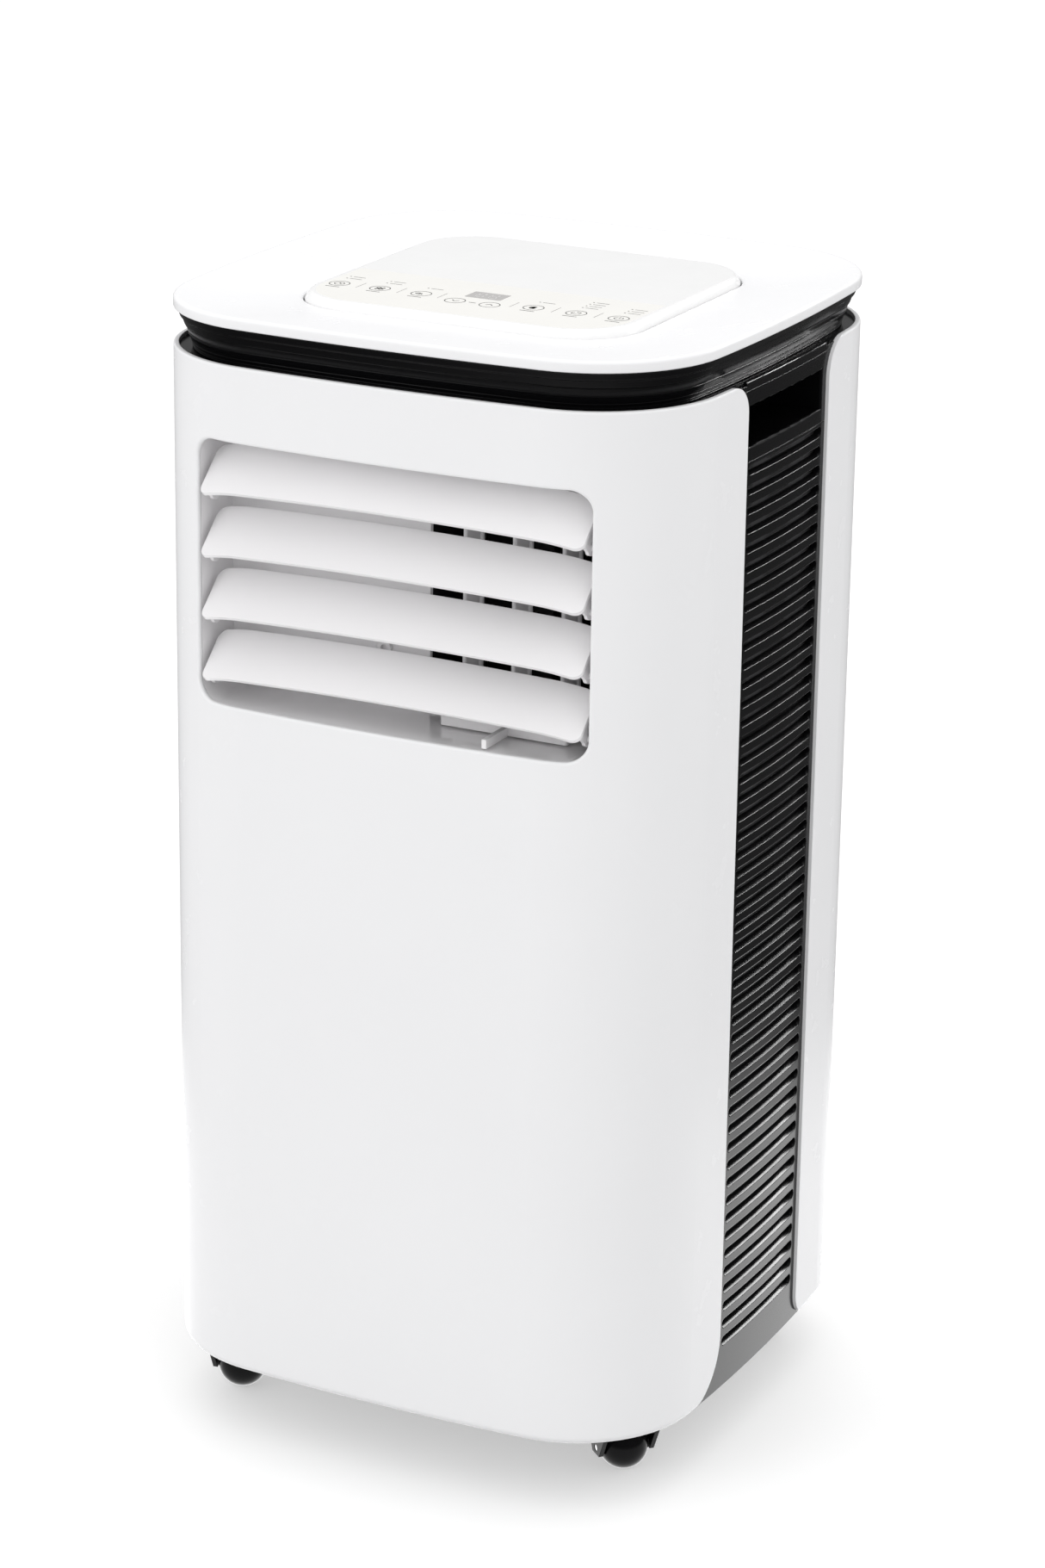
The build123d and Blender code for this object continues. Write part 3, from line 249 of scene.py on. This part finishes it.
def new_piece(name, shape, body, slot, finish=None, smooth=True):
    """Turn a bmesh into an object that rides on a body and takes a slot's finish."""
    bmesh.ops.recalc_face_normals(shape, faces=shape.faces)
    mesh = bpy.data.meshes.new(name)
    shape.to_mesh(mesh)
    shape.free()
    if smooth:
        mesh.shade_smooth()
    piece = bpy.data.objects.new(name, mesh)
    bpy.context.scene.collection.objects.link(piece)
    mesh.materials.append(FINISHES[finish or slot])
    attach(piece, body)
    return piece


def sharpen(piece, degrees=35):
    """Keep the edges crisp where two faces meet at more than an angle."""
    piece.data.set_sharp_from_angle(angle=radians(degrees))


def add_ring(shape, points):
    return [shape.verts.new(Vector(point) * MM) for point in points]


def bridge(shape, ring, other):
    """Quads between two rings of equal length."""
    count = len(ring)
    for i in range(count):
        j = (i + 1) % count
        shape.faces.new((ring[i], ring[j], other[j], other[i]))


def skin(shape, loops, close=False, cap_ends=False):
    """A surface through a list of closed loops, optionally joined end to end or capped."""
    rings = [add_ring(shape, loop) for loop in loops]
    for ring, other in zip(rings, rings[1:]):
        bridge(shape, ring, other)
    if close:
        bridge(shape, rings[-1], rings[0])
    if cap_ends:
        shape.faces.new(list(reversed(rings[0])))
        shape.faces.new(rings[-1])
    return rings


# ---- Casing plan -----------------------------------------------------------------------

SIDE_STEPS = 18
CORNER_STEPS = 14
low_corner, high_corner = (tuple(v / MM for v in corner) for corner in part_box("top_cover"))
HALF = (high_corner[0] - low_corner[0]) / 2
CAP_TOP = high_corner[2]
CROWN = 8.83
CORNER_R = 79.0


def quarter_turns(quarter):
    """Repeat one quarter of a closed plan outline four times round."""
    outline = []
    for turn in range(4):
        c, s = round(cos(turn * pi / 2)), round(sin(turn * pi / 2))
        outline += [(x * c - y * s, x * s + y * c) for x, y in quarter]
    return outline


def casing_outline(inset):
    """Plan of the casing: a crowned side and a round corner, four times over."""
    side = HALF - inset
    corner = side - CROWN
    crown_r = (corner ** 2 + CROWN ** 2) / (2 * CROWN)
    corner_r = CORNER_R - inset
    gap = crown_r - side
    middle = (-gap + sqrt(2 * (crown_r - corner_r) ** 2 - gap ** 2)) / 2
    reach = atan2(middle, middle + gap)
    quarter = []
    for i in range(SIDE_STEPS):
        angle = reach * (2 * i / SIDE_STEPS - 1)
        quarter.append((crown_r * sin(angle), gap - crown_r * cos(angle)))
    for i in range(CORNER_STEPS):
        angle = -pi / 2 + reach + (pi / 2 - 2 * reach) * i / CORNER_STEPS
        quarter.append((middle + corner_r * cos(angle), -middle + corner_r * sin(angle)))
    return quarter_turns(quarter)


def pad_outline(grow, half_x=101.0, half_y=100.0, radius=36.0, shift=1.5):
    """Plan of the control pad: straight sides and round corners, point for point alike."""
    outline = []
    corner_r = radius + grow
    for turn, (a, b) in enumerate(((half_x, half_y), (half_y, half_x)) * 2):
        c, s = round(cos(turn * pi / 2)), round(sin(turn * pi / 2))
        run = a - radius
        fall = -(b + grow)
        quarter = [(run * (2 * i / SIDE_STEPS - 1), fall) for i in range(SIDE_STEPS)]
        for i in range(CORNER_STEPS):
            angle = -pi / 2 + pi / 2 * i / CORNER_STEPS
            quarter.append((run + corner_r * cos(angle), fall + corner_r + corner_r * sin(angle)))
        outline += [(x * c - y * s + shift, x * s + y * c) for x, y in quarter]
    return outline


def at_height(outline, z):
    return [(x, y, z) for x, y in outline]


def blend_outlines(outer, inner, share):
    """An outline part way from one plan to another."""
    return [(a + (c - a) * share, b + (d - b) * share) for (a, b), (c, d) in zip(outer, inner)]


# ---- Top cover and control pad ---------------------------------------------------------

PAD_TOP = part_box("control_pad")[1][2] / MM
CAP_BOTTOM = 688.9
PAD_FOOT = 690.3
PAD_FOOT_GROW = 4.5
CAP_EDGE_R = 2.0
CAP_LAND = 3.4          # how far in the flat rim of the cap reaches


def make_top_cover():
    """The cap: a rounded rim, a shallow dish and a soft lip round the control pad."""
    loops = [at_height(casing_outline(19.6), CAP_BOTTOM - 2.6),
             at_height(casing_outline(19.6), CAP_BOTTOM), at_height(casing_outline(0.6), CAP_BOTTOM),
             at_height(casing_outline(0.1), CAP_BOTTOM + 0.4)]
    for i in range(6):
        angle = pi / 2 * i / 5
        loops.append(at_height(casing_outline(CAP_EDGE_R * (1 - cos(angle))),
                               CAP_TOP - CAP_EDGE_R * (1 - sin(angle))))
    rim = casing_outline(CAP_LAND)
    lip = pad_outline(PAD_FOOT_GROW + 3.4)
    loops.append(at_height(rim, CAP_TOP - 0.08))
    for i in range(1, 9):
        share = i / 8
        fall = (CAP_TOP - PAD_FOOT - 0.9) * share ** 1.15
        loops.append(at_height(blend_outlines(rim, lip, share), CAP_TOP - 0.1 - fall))
    for grow, z in ((2.8, 0.72), (2.1, 0.62), (1.5, 0.38), (1.0, 0.05), (0.8, -0.4), (0.7, -1.2)):
        loops.append(at_height(pad_outline(PAD_FOOT_GROW + grow), PAD_FOOT + z))
    loops.append(at_height(pad_outline(PAD_FOOT_GROW + 0.7), CAP_BOTTOM - 2.6))
    shape = bmesh.new()
    skin(shape, loops, close=True)
    piece = new_piece("top_cover_shell", shape, "housing", "white_shell")
    sharpen(piece)
    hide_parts("top_cover")


def make_control_pad():
    """The raised pad: a soft shoulder, a rounded slope, and a shallow seat for the overlay."""
    loops = [at_height(pad_outline(PAD_FOOT_GROW - 0.4), CAP_BOTTOM - 2.6),
             at_height(pad_outline(PAD_FOOT_GROW - 0.3), PAD_FOOT - 0.4)]
    profile = ((4.1, 0.0), (3.7, 0.8), (3.15, 1.9), (2.6, 2.9), (2.05, 3.7), (1.5, 4.25),
               (0.9, 4.65), (0.3, 4.9), (-0.4, 4.99), (-1.3, 5.0))
    for grow, rise in profile:
        loops.append(at_height(pad_outline(grow), PAD_FOOT + rise))
    shape = bmesh.new()
    rings = skin(shape, loops)
    shape.faces.new(rings[-1])
    shape.faces.new(list(reversed(rings[0])))
    piece = new_piece("control_pad_shell", shape, "housing", "white_pad")
    sharpen(piece)
    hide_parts("control_pad")


make_top_cover()
make_control_pad()


# ---- Printed overlay -------------------------------------------------------------------

FILM_TOP = PAD_TOP + 0.06
INK_TOP = FILM_TOP + 0.05
OVERLAY_BACK = -18.0
FILM_INSET = 2.2        # from the edge of the pad's flat top
FILM_LEFT = -97.3
FILM_RIGHT = 100.3
LINE = 0.52             # printed line width
KEY_R = 6.0


def flat_face(shape, outline, z):
    """One thin printed patch."""
    shape.faces.new([shape.verts.new(Vector((x, y, z)) * MM) for x, y in outline])


def stroke(shape, points, width, z=INK_TOP):
    """A printed line through a few points."""
    for (ax, ay), (bx, by) in zip(points, points[1:]):
        length = hypot(bx - ax, by - ay)
        nx, ny = -(by - ay) / length * width / 2, (bx - ax) / length * width / 2
        flat_face(shape, [(ax - nx, ay - ny), (bx - nx, by - ny), (bx + nx, by + ny),
                          (ax + nx, ay + ny)], z)


def arc_points(x, y, radius, start, end, steps=24):
    return [(x + radius * cos(radians(start + (end - start) * i / steps)),
             y + radius * sin(radians(start + (end - start) * i / steps)))
            for i in range(steps + 1)]


def key_ring(shape, x, y):
    stroke(shape, arc_points(x, y, KEY_R, 0, 360, 40), LINE)


def timer_mark(shape, x, y):
    stroke(shape, arc_points(x, y, 3.0, 0, 360), LINE)
    stroke(shape, [(x, y + 1.9), (x, y), (x + 1.5, y - 0.6)], LINE)


def fan_mark(shape, x, y):
    for turn in range(4):
        angle = radians(90 * turn + 45)
        ox, oy = x + 1.9 * cos(angle), y + 1.9 * sin(angle)
        stroke(shape, arc_points(ox, oy, 1.15, 0, 360, 14), LINE * 1.5)


def swing_mark(shape, x, y):
    for step in range(4):
        angle = radians(200 + 28 * step)
        stroke(shape, [(x + 1.2 * cos(angle), y + 2 + 1.2 * sin(angle)),
                       (x + 3.9 * cos(angle), y + 2 + 3.9 * sin(angle))], LINE)
    stroke(shape, arc_points(x, y + 2, 4.2, 205, 290, 10), LINE)


def down_mark(shape, x, y):
    stroke(shape, [(x - 2.2, y + 1.1), (x, y - 1.3), (x + 2.2, y + 1.1)], LINE * 1.2)


def up_mark(shape, x, y):
    stroke(shape, [(x - 2.2, y - 1.1), (x, y + 1.3), (x + 2.2, y - 1.1)], LINE * 1.2)


def moon_mark(shape, x, y):
    outer = arc_points(x, y, 2.7, 60, 300, 16)
    inner = arc_points(x + 1.35, y, 2.34, 270, 90, 16)
    flat_face(shape, outer + inner, INK_TOP)


def mode_mark(shape, x, y):
    for turn in range(3):
        stroke(shape, arc_points(x, y, 2.7, 120 * turn + 10, 120 * turn + 95, 8), LINE)
        angle = radians(120 * turn + 95)
        tip_x, tip_y = x + 2.7 * cos(angle), y + 2.7 * sin(angle)
        flat_face(shape, arc_points(tip_x, tip_y, 0.9, 120 * turn, 120 * turn + 240, 2), INK_TOP)


def power_mark(shape, x, y):
    stroke(shape, arc_points(x, y, 2.7, 120, 420, 20), LINE)
    stroke(shape, [(x, y + 0.4), (x, y + 3.4)], LINE)


KEYS = {                # centre x and the number of indicator lamps behind each key
    -88.4: (timer_mark, 2),
    -61.8: (fan_mark, 2),
    -34.8: (swing_mark, 1),
    37.4: (moon_mark, 1),
    64.4: (mode_mark, 4),
    91.0: (power_mark, 3),
}
KEY_Y = -60.5
PRINT_MIDDLE = 1.3
ARROW_X = 11.1
ARROW_Y = -66.5
DISPLAY_Y = -47.0
DISPLAY_HALF_X = 11.6
DISPLAY_HALF_Y = 7.6
DISPLAY_CORNER_R = 1.2
DIVIDERS = (-75.1, -48.3, -21.8, 24.4, 50.9, 77.7)


def make_overlay_print():
    """Key rings, pictograms, lamp marks and dividers, with plain dashes in place of words."""
    shape = bmesh.new()
    for x, (mark, lamps) in KEYS.items():
        key_ring(shape, x, KEY_Y)
        mark(shape, x, KEY_Y)
        stroke(shape, [(x - 4.5, KEY_Y - 8.8), (x + 4.5, KEY_Y - 8.8)], 0.7)
        for lamp in range(lamps):
            lamp_y = KEY_Y + 14.5 + 4.9 * lamp
            lamp_x = x + 1.5
            flat_face(shape, arc_points(lamp_x - 4.5, lamp_y, 0.55, 0, 324, 9), INK_TOP)
            stroke(shape, [(lamp_x - 2.6, lamp_y), (lamp_x + 5.2, lamp_y)], 0.55)
    for x, mark in ((PRINT_MIDDLE - ARROW_X, down_mark), (PRINT_MIDDLE + ARROW_X, up_mark)):
        key_ring(shape, x, ARROW_Y)
        mark(shape, x, ARROW_Y)
    stroke(shape, [(PRINT_MIDDLE - 2.2, ARROW_Y), (PRINT_MIDDLE + 2.2, ARROW_Y)], 0.7)
    for x in DIVIDERS:
        stroke(shape, [(x, KEY_Y - 5), (x, KEY_Y + 8)], 0.25)
    new_piece("overlay_print", shape, "housing", "cream_overlay", "ink", smooth=False)


def make_overlay_film():
    """The satin touch film over the front of the pad, a hair proud of it."""
    shape = bmesh.new()
    front = [(x, y) for x, y in pad_outline(-FILM_INSET) if y < OVERLAY_BACK]
    front.sort(key=lambda p: atan2(p[1] - OVERLAY_BACK, p[0]))
    outline = [(FILM_LEFT, OVERLAY_BACK)] + front + [(FILM_RIGHT, OVERLAY_BACK)]
    flat_face(shape, outline, FILM_TOP)
    lower = [shape.verts.new(Vector((x, y, PAD_TOP - 0.3)) * MM) for x, y in outline]
    shape.verts.ensure_lookup_table()
    upper = list(shape.verts)[:len(outline)]
    bridge(shape, upper, lower)
    piece = new_piece("overlay_film", shape, "housing", "cream_overlay", smooth=False)
    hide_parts("control_overlay")


def digit_segments(x, y, width, height):
    """The seven bars of one display digit, as pairs of end points."""
    left, right = x - width / 2, x + width / 2
    rows = (y - height / 2, y, y + height / 2)
    bars = [((left + 0.5, row), (right - 0.5, row)) for row in rows]
    for side in (left, right):
        bars += [((side, rows[i] + 0.5), (side, rows[i + 1] - 0.5)) for i in (0, 1)]
    return bars


def make_display():
    """The smoked display window with two unlit digits."""
    shape = bmesh.new()
    half_x, half_y, corner = DISPLAY_HALF_X, DISPLAY_HALF_Y, DISPLAY_CORNER_R
    outline = []
    for turn, (sx, sy) in enumerate(((1, -1), (1, 1), (-1, 1), (-1, -1))):
        outline += arc_points(PRINT_MIDDLE + sx * (half_x - corner),
                              DISPLAY_Y + sy * (half_y - corner), corner,
                              -90 + 90 * turn, 90 * turn, 5)
    upper = [shape.verts.new(Vector((x, y, FILM_TOP + 0.03)) * MM) for x, y in outline]
    lower = [shape.verts.new(Vector((x, y, FILM_TOP - 0.2)) * MM) for x, y in outline]
    shape.faces.new(upper)
    bridge(shape, upper, lower)
    piece = new_piece("display_glass", shape, "housing", "grey_window", smooth=False)
    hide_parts("display_window")
    digits = bmesh.new()
    for x in (PRINT_MIDDLE - 4.2, PRINT_MIDDLE + 4.2):
        for start, end in digit_segments(x, DISPLAY_Y, 4.4, 8.6):
            stroke(digits, [start, end], 0.8, FILM_TOP + 0.05)
    new_piece("display_digits", digits, "housing", "grey_window", "digit", smooth=False)


FINISHES["digit"] = moulded("unlit_digit", (0.68, 0.67, 0.66), 0.35, variation=0.03, edge=0)
make_overlay_film()
make_display()
make_overlay_print()


# ---- Neck ribs -------------------------------------------------------------------------

NECK_INSETS = (1.9, 4.3, 6.4, 8.0, 9.8)
SHELF_TOP = 665.0
NECK_STEP = (CAP_BOTTOM - SHELF_TOP) / len(NECK_INSETS)
RIB_SIDES = 8


def rib_loops(inset, z, radius):
    """Loops of a slim round bead that follows the casing's plan."""
    loops = []
    for i in range(RIB_SIDES):
        angle = 2 * pi * i / RIB_SIDES
        loops.append(at_height(casing_outline(inset - radius * cos(angle)), z + radius * sin(angle)))
    return loops


def make_neck_ribs():
    """A soft bead on each tier of the neck, and a fine ribbed foot."""
    shape = bmesh.new()
    for step, inset in enumerate(NECK_INSETS):
        skin(shape, rib_loops(inset + 0.35, CAP_BOTTOM - step * NECK_STEP - 0.55, 0.55), close=True)
    for rib in range(3):
        skin(shape, rib_loops(NECK_INSETS[-1] + 1.1, SHELF_TOP + 0.7 + 1.15 * rib, 0.42), close=True)
    new_piece("neck_ribs", shape, "housing", "gloss_black")


make_neck_ribs()


# ---- Dust screens behind the side slots --------------------------------------------------

SCREEN_INSET = 6.3
SCREEN_Y = 74.0
SCREEN_BOTTOM = 72.0
SCREEN_TOP = 618.0


def make_dust_screens():
    """A fine dark screen close behind each column's slots, following the casing's crown."""
    shape = bmesh.new()
    for side in (-1, 1):
        plan = [(x, y) for x, y in casing_outline(SCREEN_INSET) if abs(y) < SCREEN_Y and side * x > 0]
        plan.sort(key=lambda point: point[1])
        lower = add_ring(shape, at_height(plan, SCREEN_BOTTOM))
        upper = add_ring(shape, at_height(plan, SCREEN_TOP))
        for i in range(len(plan) - 1):
            shape.faces.new((lower[i], lower[i + 1], upper[i + 1], upper[i]))
    new_piece("dust_screens", shape, "housing", "mesh")


make_dust_screens()


# ---- Studio ----------------------------------------------------------------------------

FLOOR_SIZE = 14         # half the floor's width, in metres
GLOW_NEAR = 0.42        # the floor's painted bright pool, seen only in reflections, as distances from the middle in metres
GLOW_FAR = 0.8
POOL_GLOW = 2.4
FAR_GLOW = 0.12


def painted_floor_pool(material):
    """How bright the floor looks in reflections: a painted glow, a bright pool at the object and dim
    beyond it, that no lamp casts.
    """
    place = add_node(material, "ShaderNodeTexCoord")
    distance = add_node(material, "ShaderNodeVectorMath", operation="LENGTH")
    link(material, place.outputs["Object"], distance.inputs[0])
    glow = add_node(material, "ShaderNodeMapRange",
                    {"From Min": GLOW_NEAR, "From Max": GLOW_FAR, "To Min": POOL_GLOW,
                     "To Max": FAR_GLOW},
                    interpolation_type="SMOOTHSTEP")
    link(material, distance.outputs["Value"], glow.inputs["Value"])
    lit = add_node(material, "ShaderNodeEmission")
    link(material, glow.outputs["Result"], lit.inputs["Strength"])
    return lit.outputs["Emission"]


def make_floor():
    """A wide pale floor, a little self-lit so that it reads as studio white; in reflections it shows
    a painted bright pool round the object.
    """
    mesh = bpy.data.meshes.new("floor")
    corners = [(FLOOR_SIZE * x, FLOOR_SIZE * y, 0) for x, y in ((-1, -1), (1, -1), (1, 1), (-1, 1))]
    mesh.from_pydata(corners, [], [(0, 1, 2, 3)])
    floor = bpy.data.objects.new("floor", mesh)
    bpy.context.scene.collection.objects.link(floor)
    material, shader = new_material("studio_floor")
    shader.inputs["Base Color"].default_value = (0.6, 0.6, 0.6, 1)
    shader.inputs["Roughness"].default_value = 0.6
    shader.inputs["Emission Color"].default_value = (1, 1, 1, 1)
    rays = add_node(material, "ShaderNodeLightPath")
    link(material, span(material, rays.outputs["Is Camera Ray"], 0.0, 0.45),
         shader.inputs["Emission Strength"])
    # Glossy rays see the painted glow pool in place of the floor's own shading.
    mix = add_node(material, "ShaderNodeMixShader")
    link(material, rays.outputs["Is Glossy Ray"], mix.inputs["Fac"])
    link(material, shader.outputs["BSDF"], mix.inputs[1])
    link(material, painted_floor_pool(material), mix.inputs[2])
    link(material, mix.outputs["Shader"], material.node_tree.nodes["Material Output"].inputs[0])
    mesh.materials.append(material)


def area_light(name, place, target, size, power, colour=(1, 1, 1)):
    """A rectangular softbox aimed at a point."""
    lamp = bpy.data.lights.new(name, "AREA")
    lamp.shape = "RECTANGLE"
    lamp.size, lamp.size_y = size
    lamp.energy = power
    lamp.color = colour
    light = bpy.data.objects.new(name, lamp)
    bpy.context.scene.collection.objects.link(light)
    light.location = place
    aim = Vector(target) - Vector(place)
    light.rotation_euler = aim.to_track_quat("-Z", "Y").to_euler()
    return light


def make_sky():
    """An even pale sky: full white to the eye, dimmer in reflections."""
    world = bpy.data.worlds.new("studio")
    bpy.context.scene.world = world
    world.use_nodes = True
    sky = world.node_tree.nodes["Background"]
    sky.inputs["Color"].default_value = (1, 1, 1, 1)
    rays = add_node(world, "ShaderNodeLightPath")
    seen = span(world, rays.outputs["Is Camera Ray"], SKY_FILL, 1.0)
    mirror = add_node(world, "ShaderNodeMix", data_type="FLOAT")
    link(world, rays.outputs["Is Glossy Ray"], mirror.inputs[0])
    link(world, seen, mirror.inputs[2])
    mirror.inputs[3].default_value = SKY_GLOSS
    link(world, mirror.outputs[0], sky.inputs["Strength"])


SKY_FILL = 1.12
SKY_GLOSS = 0.3
LIGHT_TARGET = (0, 0, 0.35)


def make_light():
    """An overhead softbox, a front-left key, and a card behind that only shows in highlights."""
    middle = LIGHT_TARGET
    area_light("overhead", (0, 0.4, 3.2), middle, (2.6, 1.2), 10)
    area_light("key_left", (-1.8, -3.2, 1.6), middle, (1.2, 2.0), 15)
    card = area_light("card_back", (1.6, 3.0, 2.2), middle, (2.4, 0.4), 85)
    card.visible_diffuse = False


make_floor()
make_sky()
make_light()
bpy.context.scene.view_settings.view_transform = "Standard"
